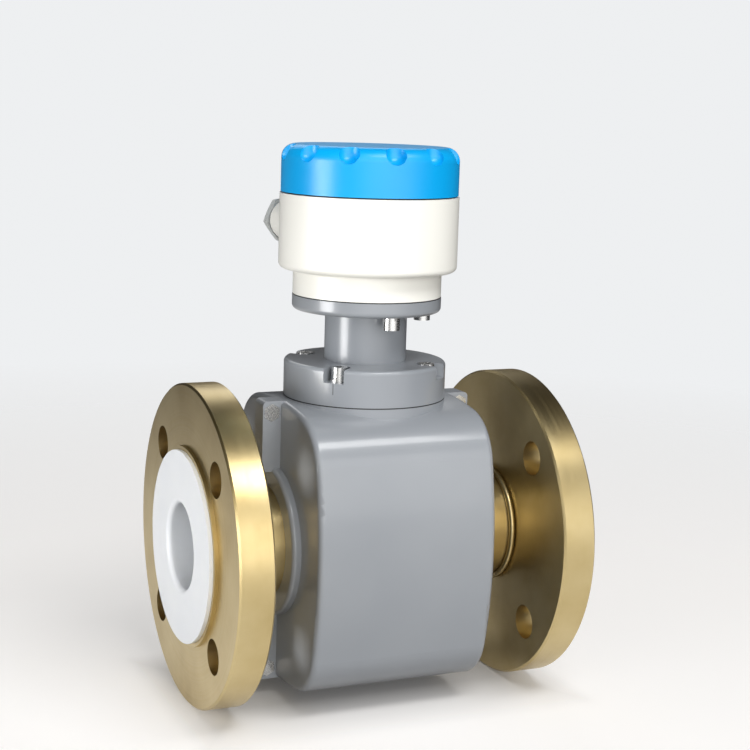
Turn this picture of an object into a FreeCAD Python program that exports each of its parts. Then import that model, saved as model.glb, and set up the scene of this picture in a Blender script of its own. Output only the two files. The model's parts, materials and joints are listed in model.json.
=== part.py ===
import FreeCAD, Part
import math
import os
import re

import Sketcher

os.makedirs("parts", exist_ok=True)

# Driving sizes in millimetres. The pipe axis is X, up is Z and the origin is
# on the pipe axis, half way between the two liner faces.
SIZES = {
    # flow line
    "lay_length": 198.0,
    "flare_thickness": 2.0,
    "flare_diameter": 98.0,
    "raised_face_height": 2.0,
    "raised_face_diameter": 102.0,
    "flange_thickness": 18.0,
    "flange_diameter": 165.0,
    "flange_chamfer": 1.0,
    "bolt_circle": 125.0,
    "bolt_hole": 18.0,
    "bolt_count": 4,
    "pipe_diameter": 57.0,
    "pipe_wall": 3.5,
    "liner_bore": 44.0,
    "mouth_radius": 2.5,
    "flare_root": 5.0,
    "weld_leg": 3.0,
    "weld_crown_long": 2.25,
    "weld_crown_short": 1.2,
    # shared clearances and gaskets
    "slip_gap": 0.05,
    "gasket_thickness": 0.6,
    # electrodes
    "electrode_stem": 3.0,
    "electrode_head": 9.0,
    "electrode_head_thickness": 2.0,
    "electrode_reach": 47.0,
    "electrode_boss": 18.0,
    "electrode_boss_reach": 36.0,
    "sleeve_wall": 1.5,
    "sleeve_collar": 3.0,
    "sleeve_collar_reach": 2.25,
    "electrode_nut_flats": 8.0,
    "electrode_nut_thickness": 3.0,
    # magnet system
    "coil_length": 62.0,
    "coil_width": 46.0,
    "coil_window_length": 30.0,
    "coil_window_width": 18.0,
    "coil_height": 9.0,
    "coil_stand_off": 1.5,
    "yoke_thickness": 1.6,
    "yoke_length": 66.0,
    "yoke_window": 30.0,
    # sensor housing
    "housing_width": 96.0,
    "housing_height": 147.0,
    "housing_depth": 127.0,
    "housing_bow": 215.0,
    "housing_corner": 28.0,
    "housing_wall": 3.0,
    "housing_edge": 3.0,
    "collar_diameter": 78.0,
    "collar_reach": 4.5,
    "collar_edge": 2.0,
    "lug_reach": 9.7,
    "lug_thickness": 6.0,
    "lug_corner": 2.5,
    "lug_bolt_inset": 6.0,
    "seat_rise": 0.1,
    "lead_hole": 26.0,
    "boss_depth": 12.0,
    "boss_wall": 2.5,
    # M5 screws, nuts and washers
    "screw_diameter": 5.0,
    "screw_head": 8.5,
    "screw_head_height": 5.0,
    "screw_socket": 4.0,
    "screw_socket_depth": 2.5,
    "nut_flats": 8.0,
    "nut_thickness": 4.0,
    "washer_diameter": 10.0,
    "washer_thickness": 1.0,
    "spring_diameter": 8.6,
    "spring_thickness": 1.3,
    "spring_slit": 0.8,
    # neck
    "neck_height": 51.8,
    "neck_base_diameter": 84.0,
    "neck_base_thickness": 18.6,
    "neck_base_edge": 2.0,
    "neck_tube_diameter": 42.5,
    "neck_bore": 34.0,
    "neck_flange_diameter": 77.0,
    "neck_flange_thickness": 7.5,
    "neck_flange_edge": 2.5,
    "neck_screw_circle": 68.0,
    "neck_screw_count": 4,
    "neck_screw_length": 21.0,
    "pocket_width": 11.0,
    "pocket_depth": 7.0,
    "head_screw_circle": 64.0,
    "head_screw_count": 3,
    "head_screw_length": 12.0,
    # converter head
    "head_height": 51.2,
    "head_diameter": 92.0,
    "head_foot_diameter": 76.6,
    "head_foot_height": 12.8,
    "head_wall": 4.0,
    "head_floor": 5.0,
    "head_edge": 3.0,
    "head_step_edge": 1.5,
    "entry_spacing": 49.0,
    "entry_height": 34.2,
    "entry_boss": 22.0,
    "entry_reach": 50.0,
    "entry_bore": 16.0,
    "plug_flats": 22.0,
    "plug_head": 6.0,
    "plug_shank": 9.0,
    "plug_seal_thickness": 1.5,
    "plug_seal_diameter": 20.0,
    "plug_hollow": 10.0,
    "plug_chamfer": 1.0,
    "plug_chamfer_bite": 0.2,
    # screw cap
    "cap_diameter": 91.0,
    "cap_height": 24.1,
    "cap_gap": 0.7,
    "cap_edge": 7.0,
    "cap_roof": 4.0,
    "cap_hollow": 70.0,
    "cap_thread_length": 9.0,
    "cap_thread_wall": 3.5,
    "seal_groove_depth": 1.2,
    "seal_section": 1.8,
    "scallop_count": 12,
    "scallop_radius": 5.3,
    "scallop_inset": 1.0,
    "scallop_depth": 8.3,
    "scallop_phase": 23.0,
    # electronics inside the head
    "board_diameter": 78.0,
    "board_thickness": 1.6,
    "board_pitch": 12.0,
    "spacer_flats": 5.5,
    "spacer_circle": 60.0,
    "spacer_count": 4,
    "spacer_turn": 45.0,
    "spacer_thread": 3.0,
    "board_screw_head": 6.0,
    "board_screw_crown": 5.1,
    "board_screw_rise": 1.8,
    "terminal_length": 40.0,
    "terminal_width": 14.0,
    "terminal_height": 9.0,
    "terminal_count": 6,
    "terminal_screw": 4.0,
    "terminal_screw_height": 3.0,
    "terminal_slot_width": 0.8,
    "terminal_slot_depth": 1.0,
    "terminal_mouth_level": 1.125,
    "terminal_offset": 9.8,
    "lead_diameter": 4.5,
}

doc = FreeCAD.newDocument("flow_meter")
sheet = doc.addObject("Spreadsheet::Sheet", "Sizes")
for row, (alias, number) in enumerate(SIZES.items(), start=1):
    sheet.set(f"A{row}", alias)
    sheet.set(f"B{row}", str(number))
    sheet.setAlias(f"B{row}", alias)
doc.recompute()

# Levels on the vertical axis and radii that several pieces share.
SEAT_LEVEL = "(housing_height / 2 + seat_rise)"
NECK_LEVEL = f"({SEAT_LEVEL} + gasket_thickness)"
NECK_TOP = f"({NECK_LEVEL} + neck_height)"
HEAD_LEVEL = f"({NECK_TOP} + gasket_thickness)"
CAP_LEVEL = f"({HEAD_LEVEL} + head_height + cap_gap)"
ENTRY_LEVEL = f"({HEAD_LEVEL} + entry_height)"
FLARE_BACK = "(lay_length / 2 - flare_thickness)"
FLARE_ROOT = "(lay_length / 2 - flare_root)"
FLANGE_FACE = f"({FLARE_BACK} - raised_face_height)"
FLANGE_BACK = f"({FLANGE_FACE} - flange_thickness)"
PIPE_RADIUS = "(pipe_diameter / 2)"
PIPE_INSIDE = "(pipe_diameter / 2 - pipe_wall)"
PIPE_CLEAR = "(pipe_diameter / 2 + slip_gap)"
COIL_INSIDE = "(pipe_diameter / 2 + coil_stand_off)"
COIL_OUTSIDE = f"({COIL_INSIDE} + coil_height)"
YOKE_INSIDE = f"({COIL_OUTSIDE} + slip_gap)"
LUG_BOLT_X = "(housing_width / 2 + lug_reach / 2)"
LUG_BOLT_Z = "(housing_height / 2 - lug_bolt_inset)"
SCREW_CLEAR = "(screw_diameter / 2 + slip_gap)"
HEAD_BORE = "(head_diameter / 2 - head_wall)"
FOOT_BORE = "(head_foot_diameter / 2 - head_wall)"
SLEEVE_RADIUS = "(electrode_stem / 2 + slip_gap + sleeve_wall)"
NEAR = 0.02


def bound(text):
    """Write an expression with each size name pointing at its sheet cell."""
    return re.sub(r"[a-z][a-z_]+", lambda word: cell(word.group()), text)


def cell(word):
    return f"Sizes.{word}" if word in SIZES else word


def value(text):
    return float(sheet.evalExpression(bound(text)))


def new_body(label):
    body = doc.addObject("PartDesign::Body", label)
    body.Label = label
    body.AllowCompound = True
    return body


def origin_feature(body, role):
    return next(item for item in body.Origin.OriginFeatures if item.Role == role)


def place(body, x="0", y="0", z="0", axis=(0, 0, 1), angle=0.0):
    turn = FreeCAD.Rotation(FreeCAD.Vector(*axis), angle)
    body.Placement = FreeCAD.Placement(FreeCAD.Vector(0, 0, 0), turn)
    for name, text in (("x", x), ("y", y), ("z", z)):
        body.setExpression(f"Placement.Base.{name}", bound(text))


def add_sketch(body, role, name, level="0", along="0", turn=0.0):
    """A sketch on an origin plane, lifted by level, moved along and turned."""
    sketch = body.newObject("Sketcher::SketchObject", name)
    sketch.AttachmentSupport = (origin_feature(body, role), [""])
    sketch.MapMode = "FlatFace"
    spin = FreeCAD.Rotation(FreeCAD.Vector(0, 0, 1), turn)
    sketch.AttachmentOffset = FreeCAD.Placement(FreeCAD.Vector(0, 0, 0), spin)
    sketch.setExpression("AttachmentOffset.Base.x", bound(along))
    sketch.setExpression("AttachmentOffset.Base.z", bound(level))
    return sketch


def limit(sketch, kind, *target, text):
    """Add one dimension to a sketch and bind it to the sheet."""
    index = sketch.addConstraint(Sketcher.Constraint(kind, *target, value(text)))
    sketch.setExpression(f"Constraints[{index}]", bound(text))


def pin(sketch, geometry, point, x, y):
    limit(sketch, "DistanceX", geometry, point, text=x)
    limit(sketch, "DistanceY", geometry, point, text=y)


def outline(sketch, corners):
    """A closed outline of straight lines through bound corners."""
    first = sketch.GeometryCount
    points = [FreeCAD.Vector(value(x), value(y), 0) for x, y in corners]
    for start, end in zip(points, points[1:] + points[:1]):
        sketch.addGeometry(Part.LineSegment(start, end), False)
    for step, (x, y) in enumerate(corners):
        following = first + (step + 1) % len(corners)
        sketch.addConstraint(Sketcher.Constraint("Coincident", first + step, 2, following, 1))
        pin(sketch, first + step, 1, x, y)


def box_outline(sketch, x_low, x_high, y_low, y_high):
    outline(sketch, [(x_low, y_low), (x_high, y_low), (x_high, y_high), (x_low, y_high)])


def circle(sketch, x, y, radius):
    centre = FreeCAD.Vector(value(x), value(y), 0)
    ring = Part.Circle(centre, FreeCAD.Vector(0, 0, 1), value(radius))
    index = sketch.addGeometry(ring, False)
    pin(sketch, index, 3, x, y)
    limit(sketch, "Radius", index, text=radius)


def hexagon(sketch, x, y, flats):
    """A hexagon with two flats upright, given by its width across flats."""
    corners = []
    for angle in range(30, 390, 60):
        reach = f"({flats}) / sqrt(3)"
        corners.append((f"{x} + {reach} * cos({angle})", f"{y} + {reach} * sin({angle})"))
    outline(sketch, corners)


def add_feature(body, kind, name, sketch, **settings):
    feature = body.newObject(f"PartDesign::{kind}", name)
    feature.Profile = sketch
    for key, setting in settings.items():
        setattr(feature, key, setting)
    sketch.Visibility = False
    return feature


def extrude(body, kind, name, sketch, length, both=False, reverse=False):
    feature = add_feature(body, kind, name, sketch, Midplane=both, Reversed=reverse)
    feature.setExpression("Length", bound(length))
    return feature


def pad(body, name, sketch, length, both=False, reverse=False):
    return extrude(body, "Pad", name, sketch, length, both, reverse)


def pocket(body, name, sketch, length, both=False, reverse=False):
    return extrude(body, "Pocket", name, sketch, length, both, reverse)


def drill(body, name, sketch):
    """Cut a sketch through the whole body, to both sides."""
    return add_feature(body, "Pocket", name, sketch, Type="ThroughAll", Midplane=True)


def revolve(body, name, sketch, role):
    axis = (origin_feature(body, role), [""])
    return add_feature(body, "Revolution", name, sketch, ReferenceAxis=axis, Angle=360)


def groove(body, name, sketch, role):
    axis = (origin_feature(body, role), [""])
    return add_feature(body, "Groove", name, sketch, ReferenceAxis=axis, Angle=360)


def turned(body, name, corners, role="Z_Axis"):
    """A turned solid: corners are (axial, radial) on X, (radial, axial) on Z."""
    sketch = add_sketch(body, "XZ_Plane", f"{name}_profile")
    outline(sketch, corners)
    return revolve(body, name, sketch, role)


def turned_cut(body, name, corners, role="Z_Axis"):
    sketch = add_sketch(body, "XZ_Plane", f"{name}_profile")
    outline(sketch, corners)
    return groove(body, name, sketch, role)


def polar(body, name, features, role, count, sweep=360.0):
    pattern = body.newObject("PartDesign::PolarPattern", name)
    pattern.Originals = features
    pattern.Axis = (origin_feature(body, role), [""])
    pattern.Angle = sweep
    pattern.setExpression("Occurrences", bound(count))
    body.Tip = pattern
    return pattern


def mirror(body, name, features, role):
    pattern = body.newObject("PartDesign::Mirrored", name)
    pattern.Originals = features
    pattern.MirrorPlane = (origin_feature(body, role), [""])
    body.Tip = pattern
    return pattern


def four_ways(body, name, features, first_role, second_role):
    """Repeat features across two origin planes, which gives four copies."""
    pattern = body.newObject("PartDesign::MultiTransform", name)
    pattern.Originals = features
    steps = []
    for role in (first_role, second_role):
        step = body.newObject("PartDesign::Mirrored", f"{name}_{role}")
        step.MirrorPlane = (origin_feature(body, role), [""])
        steps.append(step)
    pattern.Transformations = steps
    body.Tip = pattern
    return pattern


def finish_edges(body, kind, name, chosen, amount):
    """Round or chamfer the edges of the tip that a test picks."""
    doc.recompute()
    base = body.Tip
    names = [f"Edge{i}" for i, edge in enumerate(base.Shape.Edges, start=1) if chosen(edge)]
    feature = body.newObject(f"PartDesign::{kind}", name)
    feature.Base = (base, names)
    feature.setExpression("Radius" if kind == "Fillet" else "Size", bound(amount))
    doc.recompute()


def rings(axis, *radius_and_level):
    """Test for whole circles by their radius and their level on an axis."""
    wanted = [(value(radius), value(level)) for radius, level in radius_and_level]

    def test(edge):
        if not isinstance(edge.Curve, Part.Circle):
            return False
        found = (edge.Curve.Radius, edge.Curve.Center[axis])
        return any(math.dist(found, pair) < NEAR for pair in wanted)

    return test


def flow_tube():
    """The metering tube that both flanges are welded to."""
    body = new_body("metering_tube")
    turned(body, "tube_wall", [
        (f"-{FLARE_BACK}", PIPE_INSIDE),
        (FLARE_BACK, PIPE_INSIDE),
        (FLARE_BACK, PIPE_RADIUS),
        (f"-{FLARE_BACK}", PIPE_RADIUS),
    ], "X_Axis")
    sketch = add_sketch(body, "XZ_Plane", "electrode_holes_sketch")
    circle(sketch, "0", "0", f"{SLEEVE_RADIUS} + slip_gap")
    drill(body, "electrode_holes", sketch)


def flange(label, angle):
    """A plate flange with a raised face, bored to slip over the tube."""
    body = new_body(label)
    turned(body, "plate", [
        (FLANGE_BACK, PIPE_CLEAR),
        (FLARE_BACK, PIPE_CLEAR),
        (FLARE_BACK, "raised_face_diameter / 2"),
        (FLANGE_FACE, "raised_face_diameter / 2"),
        (FLANGE_FACE, "flange_diameter / 2"),
        (FLANGE_BACK, "flange_diameter / 2"),
    ], "X_Axis")
    rim = rings(0, ("flange_diameter / 2", FLANGE_FACE), ("flange_diameter / 2", FLANGE_BACK))
    finish_edges(body, "Chamfer", "rim_chamfer", rim, "flange_chamfer")
    sketch = add_sketch(body, "YZ_Plane", "bolt_hole_sketch", turn=180.0 / SIZES["bolt_count"])
    circle(sketch, "bolt_circle / 2", "0", "bolt_hole / 2")
    hole = drill(body, "bolt_hole_cut", sketch)
    polar(body, "bolt_holes", [hole], "X_Axis", "bolt_count")
    place(body, angle=angle)


def weld(label, angle):
    """The fillet weld between the back of a flange and the tube."""
    body = new_body(label)
    inner = f"({PIPE_RADIUS} + slip_gap)"
    turned(body, "bead", [
        (f"{FLANGE_BACK} - weld_leg", inner),
        (FLANGE_BACK, inner),
        (FLANGE_BACK, f"{inner} + weld_leg"),
        (f"{FLANGE_BACK} - weld_crown_short", f"{inner} + weld_crown_long"),
        (f"{FLANGE_BACK} - weld_crown_long", f"{inner} + weld_crown_short"),
    ], "X_Axis")
    place(body, angle=angle)


def liner():
    """The tube of the moulded liner, between the roots of its flares."""
    body = new_body("ptfe_liner")
    outside = f"({PIPE_INSIDE} - slip_gap)"
    bore = "(liner_bore / 2)"
    turned(body, "lining", [
        (f"-{FLARE_ROOT}", bore), (f"-{FLARE_ROOT}", outside),
        (FLARE_ROOT, outside), (FLARE_ROOT, bore),
    ], "X_Axis")
    seats = add_sketch(body, "XZ_Plane", "electrode_seat_sketch")
    circle(seats, "0", "0", "electrode_head / 2 + slip_gap")
    pocket(body, "electrode_seats", seats,
           f"2 * ({bore} + electrode_head_thickness)", both=True)
    stems = add_sketch(body, "XZ_Plane", "electrode_stem_sketch")
    circle(stems, "0", "0", "electrode_stem / 2 + slip_gap")
    drill(body, "electrode_stem_holes", stems)


def liner_flare(label, angle):
    """One end of the liner, turned out over the raised face and rounded inside."""
    body = new_body(label)
    outside = f"({PIPE_INSIDE} - slip_gap)"
    bore = "(liner_bore / 2)"
    flare = "(flare_diameter / 2)"
    half = "(lay_length / 2)"
    turned(body, "flare", [
        (FLARE_ROOT, bore), (FLARE_ROOT, outside), (FLARE_BACK, outside),
        (FLARE_BACK, flare), (half, flare), (half, bore),
    ], "X_Axis")
    finish_edges(body, "Fillet", "mouth_rounding", rings(0, (bore, half)), "mouth_radius")
    place(body, angle=angle)


ELECTRODE_ANGLES = {"front": 90.0, "rear": -90.0}


def electrode(side):
    """A measuring electrode, drawn along Z and laid across the tube."""
    body = new_body(f"{side}_electrode")
    head_top = "(liner_bore / 2 + electrode_head_thickness)"
    turned(body, "electrode_pin", [
        ("0", "liner_bore / 2"),
        ("electrode_head / 2", "liner_bore / 2"),
        ("electrode_head / 2", head_top),
        ("electrode_stem / 2", head_top),
        ("electrode_stem / 2", "electrode_reach"),
        ("0", "electrode_reach"),
    ])
    place(body, axis=(1, 0, 0), angle=ELECTRODE_ANGLES[side])


def electrode_sleeve(side):
    """The insulating sleeve that keeps an electrode off the tube."""
    body = new_body(f"{side}_electrode_sleeve")
    inside = "(electrode_stem / 2 + slip_gap)"
    collar_base = "(electrode_boss_reach + slip_gap)"
    collar_top = f"({collar_base} + sleeve_collar)"
    collar_radius = f"({SLEEVE_RADIUS} + sleeve_collar_reach)"
    turned(body, "sleeve_wall", [
        (inside, PIPE_INSIDE), (SLEEVE_RADIUS, PIPE_INSIDE),
        (SLEEVE_RADIUS, collar_base), (collar_radius, collar_base),
        (collar_radius, collar_top), (inside, collar_top),
    ])
    place(body, axis=(1, 0, 0), angle=ELECTRODE_ANGLES[side])


def electrode_boss(side):
    """The boss on the tube that an electrode is clamped against."""
    body = new_body(f"{side}_electrode_boss")
    sketch = add_sketch(body, "XY_Plane", "boss_sketch")
    circle(sketch, "0", "0", "electrode_boss / 2")
    circle(sketch, "0", "0", f"{SLEEVE_RADIUS} + slip_gap")
    pad(body, "boss", sketch, "electrode_boss_reach")
    saddle = add_sketch(body, "YZ_Plane", "saddle_sketch")
    circle(saddle, "0", "0", PIPE_CLEAR)
    drill(body, "saddle", saddle)
    place(body, axis=(1, 0, 0), angle=ELECTRODE_ANGLES[side])


def electrode_nuts():
    """The two nuts that draw the electrodes tight."""
    body = new_body("electrode_nuts")
    level = "(electrode_boss_reach + 2 * slip_gap + sleeve_collar)"
    sketch = add_sketch(body, "XY_Plane", "nut_sketch", level=level)
    hexagon(sketch, "0", "0", "electrode_nut_flats")
    circle(sketch, "0", "0", "electrode_stem / 2 + slip_gap")
    nut = pad(body, "nut", sketch, "electrode_nut_thickness")
    mirror(body, "nut_pair", [nut], "XY_Plane")
    place(body, axis=(1, 0, 0), angle=90.0)


def saddle_ring(body, name, inner, outer, length, width, window=None):
    """A block between two radii round the tube, with an optional window."""
    sketch = add_sketch(body, "XY_Plane", f"{name}_sketch")
    box_outline(sketch, f"-{length} / 2", f"{length} / 2", f"-{width} / 2", f"{width} / 2")
    if window:
        half_x, half_y = (f"{size} / 2" for size in window)
        box_outline(sketch, f"-{half_x}", half_x, f"-{half_y}", half_y)
    pad(body, name, sketch, f"{outer} + 1")
    inside = add_sketch(body, "YZ_Plane", f"{name}_inside_sketch")
    circle(inside, "0", "0", inner)
    drill(body, f"{name}_inside", inside)
    outside = add_sketch(body, "YZ_Plane", f"{name}_outside_sketch")
    circle(outside, "0", "0", outer)
    reach = f"({outer} + {width})"
    box_outline(outside, f"-{reach}", reach, f"-{reach}", reach)
    drill(body, f"{name}_outside", outside)


SADDLE_ANGLES = {"upper": 0.0, "lower": 180.0}


def coil(side):
    """A saddle coil wound to lie on the tube."""
    body = new_body(f"{side}_coil")
    saddle_ring(body, "winding", COIL_INSIDE, COIL_OUTSIDE, "coil_length", "coil_width",
                ("coil_window_length", "coil_window_width"))
    place(body, axis=(1, 0, 0), angle=SADDLE_ANGLES[side])


def pole_shoe(side):
    """The iron core that fills a coil's window."""
    body = new_body(f"{side}_pole_core")
    saddle_ring(body, "core", PIPE_CLEAR, COIL_OUTSIDE,
                "(coil_window_length - 4 * slip_gap)", "(coil_window_width - 4 * slip_gap)")
    place(body, axis=(1, 0, 0), angle=SADDLE_ANGLES[side])


def yoke():
    """The iron band that leads the field back round the tube."""
    body = new_body("return_yoke")
    half = "(yoke_length / 2)"
    outside = f"({YOKE_INSIDE} + yoke_thickness)"
    turned(body, "band", [
        (f"-{half}", YOKE_INSIDE), (half, YOKE_INSIDE), (half, outside), (f"-{half}", outside),
    ], "X_Axis")
    sketch = add_sketch(body, "XZ_Plane", "window_sketch")
    circle(sketch, "0", "0", "yoke_window / 2")
    drill(body, "electrode_windows", sketch)


def corner_centre(half_height, half_depth, bow, corner):
    """Centre of the arc that is tangent inside the top bow and the front bow."""
    top = (0.0, half_height - bow)
    front = (bow - half_depth, 0.0)
    middle = ((top[0] + front[0]) / 2, (top[1] + front[1]) / 2)
    apart = math.dist(top, front)
    rise = math.sqrt((bow - corner) ** 2 - (apart / 2) ** 2)
    along = ((front[0] - top[0]) / apart, (front[1] - top[1]) / apart)
    return middle[0] - along[1] * rise, middle[1] + along[0] * rise


def arc(sketch, centre, radius, start, end):
    """An anticlockwise arc about centre from the ray to start to that to end."""
    angles = [math.atan2(point[1] - centre[1], point[0] - centre[0]) for point in (start, end)]
    full = Part.Circle(FreeCAD.Vector(*centre, 0), FreeCAD.Vector(0, 0, 1), radius)
    return sketch.addGeometry(Part.ArcOfCircle(full, *angles), False)


def bowed_outline(sketch, inset):
    """Half of the housing's bowed section, closed along the parting line."""
    texts = [f"({size} - {inset})" for size in (
        "housing_height / 2", "housing_depth / 2", "housing_bow", "housing_corner")]
    height, depth, bow, corner = (value(text) for text in texts)
    height_text, depth_text, bow_text, corner_text = texts
    top = (0.0, height - bow)
    front = (bow - depth, 0.0)
    upper = corner_centre(height, depth, bow, corner)
    lower = (upper[0], -upper[1])
    bottom = (0.0, bow - height)
    chain = [
        (top, bow, (0.0, height), upper),
        (upper, corner, (upper[0] * 2 - top[0], upper[1] * 2 - top[1]),
         (upper[0] * 2 - front[0], upper[1] * 2 - front[1])),
        (front, bow, upper, lower),
        (lower, corner, (lower[0] * 2 - front[0], lower[1] * 2 - front[1]),
         (lower[0] * 2 - bottom[0], lower[1] * 2 - bottom[1])),
        (bottom, bow, lower, (0.0, -height)),
    ]
    arcs = [arc(sketch, *piece) for piece in chain]
    seam = sketch.addGeometry(Part.LineSegment(
        FreeCAD.Vector(0, -height, 0), FreeCAD.Vector(0, height, 0)), False)
    for first, second in zip(arcs, arcs[1:]):
        sketch.addConstraint(Sketcher.Constraint("Tangent", first, 2, second, 1))
    sketch.addConstraint(Sketcher.Constraint("Coincident", arcs[-1], 2, seam, 1))
    sketch.addConstraint(Sketcher.Constraint("Coincident", seam, 2, arcs[0], 1))
    pin(sketch, seam, 1, "0", f"-{height_text}")
    pin(sketch, seam, 2, "0", height_text)
    pin(sketch, arcs[2], 3, f"{bow_text} - {depth_text}", "0")
    for index in (arcs[0], arcs[4]):
        limit(sketch, "DistanceX", index, 3, text="0")
    for index, text in zip(arcs, (bow_text, corner_text, bow_text, corner_text, bow_text)):
        limit(sketch, "Radius", index, text=text)


def end_edges(edge):
    """The long outer edges of the bowed section, at both ends of the shell."""
    box = edge.BoundBox
    flat = box.XLength < NEAR
    at_end = abs(abs(box.Center.x) - value("housing_width / 2")) < NEAR
    on_seam = box.YLength < NEAR
    return flat and at_end and not on_seam


def lug_rims(edge):
    """The upright corners of the lugs that lie farthest from the pipe."""
    box = edge.BoundBox
    upright = box.XLength < NEAR and box.ZLength < NEAR
    far = abs(abs(box.Center.x) - value("housing_width / 2 + lug_reach")) < NEAR
    return upright and far and box.YLength > NEAR


def housing_lugs(body):
    """Four strips along the parting plane that the housing bolts pass through."""
    sketch = add_sketch(body, "XZ_Plane", "lug_sketch")
    near = "(housing_width / 2 - housing_wall)"
    far = "(housing_width / 2 + lug_reach)"
    low = "(collar_diameter / 2 - collar_edge)"
    high = "(housing_height / 2)"
    for x_low, x_high in ((near, far), (f"-{far}", f"-{near}")):
        box_outline(sketch, x_low, x_high, low, high)
        box_outline(sketch, x_low, x_high, f"-{high}", f"-{low}")
    pad(body, "lugs", sketch, "lug_thickness")
    finish_edges(body, "Fillet", "lug_rounding", lug_rims, "lug_corner")


def housing_collars(body):
    """The rounded rings through which the tube leaves the housing."""
    start = "(housing_width / 2 - housing_wall)"
    end = "(housing_width / 2 + collar_reach)"
    for number, sign in enumerate(("", "-")):
        turned(body, f"collar_{number}", [
            (f"{sign}{start}", "0"), (f"{sign}{end}", "0"),
            (f"{sign}{end}", "collar_diameter / 2"), (f"{sign}{start}", "collar_diameter / 2"),
        ], "X_Axis")
    rims = rings(0, ("collar_diameter / 2", end), ("collar_diameter / 2", f"-{end}"))
    finish_edges(body, "Fillet", "collar_rounding", rims, "collar_edge")


def housing_seat(body):
    """The flat round seat on top, with a boss below for each neck screw."""
    seat = add_sketch(body, "XY_Plane", "seat_sketch", level=SEAT_LEVEL)
    circle(seat, "0", "0", "neck_base_diameter / 2")
    pad(body, "seat", seat, "housing_corner / 2", reverse=True)


def housing_bosses(body):
    turn = 180.0 / SIZES["neck_screw_count"]
    boss = add_sketch(body, "XY_Plane", "screw_boss_sketch", level=SEAT_LEVEL, turn=turn)
    circle(boss, "neck_screw_circle / 2", "0", "screw_diameter / 2 + boss_wall")
    solid = pad(body, "screw_boss", boss, "boss_depth", reverse=True)
    polar(body, "screw_bosses", [solid], "Z_Axis", "neck_screw_count")
    hole = add_sketch(body, "XY_Plane", "screw_hole_sketch", level=SEAT_LEVEL, turn=turn)
    circle(hole, "neck_screw_circle / 2", "0", SCREW_CLEAR)
    cut = pocket(body, "screw_hole", hole, "boss_depth - housing_wall / 2")
    polar(body, "screw_holes", [cut], "Z_Axis", "neck_screw_count")


def housing_shell(label, angle, recess, recess_size, recess_depth):
    """One half of the moulded sensor housing, drawn on the front side."""
    body = new_body(label)
    outer = add_sketch(body, "YZ_Plane", "section_sketch")
    bowed_outline(outer, "0")
    pad(body, "block", outer, "housing_width", both=True)
    finish_edges(body, "Fillet", "end_rounding", end_edges, "housing_edge")
    housing_seat(body)
    housing_collars(body)
    housing_lugs(body)
    inner = add_sketch(body, "YZ_Plane", "cavity_sketch")
    bowed_outline(inner, "housing_wall")
    pocket(body, "cavity", inner, "housing_width - 2 * housing_wall", both=True)
    housing_bosses(body)
    bore = add_sketch(body, "YZ_Plane", "tube_hole_sketch")
    circle(bore, "0", "0", PIPE_CLEAR)
    drill(body, "tube_hole", bore)
    lead = add_sketch(body, "XY_Plane", "lead_hole_sketch", level=SEAT_LEVEL)
    circle(lead, "0", "0", "lead_hole / 2")
    pocket(body, "lead_hole_cut", lead, "housing_corner")
    bolt = add_sketch(body, "XZ_Plane", "lug_bolt_sketch")
    circle(bolt, LUG_BOLT_X, LUG_BOLT_Z, SCREW_CLEAR)
    hole = drill(body, "lug_bolt_hole", bolt)
    four_ways(body, "lug_bolt_holes", [hole], "YZ_Plane", "XY_Plane")
    sink = add_sketch(body, "XZ_Plane", "recess_sketch", level="lug_thickness")
    recess(sink, LUG_BOLT_X, LUG_BOLT_Z, recess_size)
    cut = pocket(body, "recess", sink, recess_depth)
    four_ways(body, "recesses", [cut], "YZ_Plane", "XY_Plane")
    half = add_sketch(body, "XY_Plane", "parting_sketch")
    span = "(housing_width + collar_diameter)"
    box_outline(half, f"-{span}", span, "0", span)
    drill(body, "parting_cut", half)
    place(body, angle=angle)


def screw_group(label, circle_size, count, length, sweep=360.0):
    """Socket head screws on a circle, heads up, with their seats at zero."""
    body = new_body(label)
    along = f"{circle_size} / 2"
    profile = add_sketch(body, "XZ_Plane", "screw_profile", along=along)
    outline(profile, [
        ("0", f"-{length}"), ("screw_diameter / 2", f"-{length}"),
        ("screw_diameter / 2", "0"), ("screw_head / 2", "0"),
        ("screw_head / 2", "screw_head_height"), ("0", "screw_head_height"),
    ])
    solid = add_feature(body, "Revolution", "screw", profile,
                        ReferenceAxis=(profile, ["V_Axis"]), Angle=360)
    socket = add_sketch(body, "XY_Plane", "socket_sketch", level="screw_head_height", along=along)
    hexagon(socket, "0", "0", "screw_socket")
    cut = pocket(body, "socket", socket, "screw_socket_depth")
    polar(body, "screw_ring", [solid, cut], "Z_Axis", count, sweep)
    return body


def washer_group(label, circle_size, count, diameter, thickness, slit=None, sweep=360.0):
    """Washers on a circle, flat or split, standing on level zero."""
    body = new_body(label)
    sketch = add_sketch(body, "XY_Plane", "washer_sketch", along=f"{circle_size} / 2")
    circle(sketch, "0", "0", f"{diameter} / 2")
    circle(sketch, "0", "0", SCREW_CLEAR)
    parts = [pad(body, "washer", sketch, thickness)]
    if slit:
        gap = add_sketch(body, "XY_Plane", "slit_sketch", along=f"{circle_size} / 2")
        box_outline(gap, "0", diameter, f"-{slit} / 2", f"{slit} / 2")
        parts.append(pocket(body, "slit", gap, thickness, reverse=True))
    polar(body, "washer_ring", parts, "Z_Axis", count, sweep)
    return body


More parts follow.
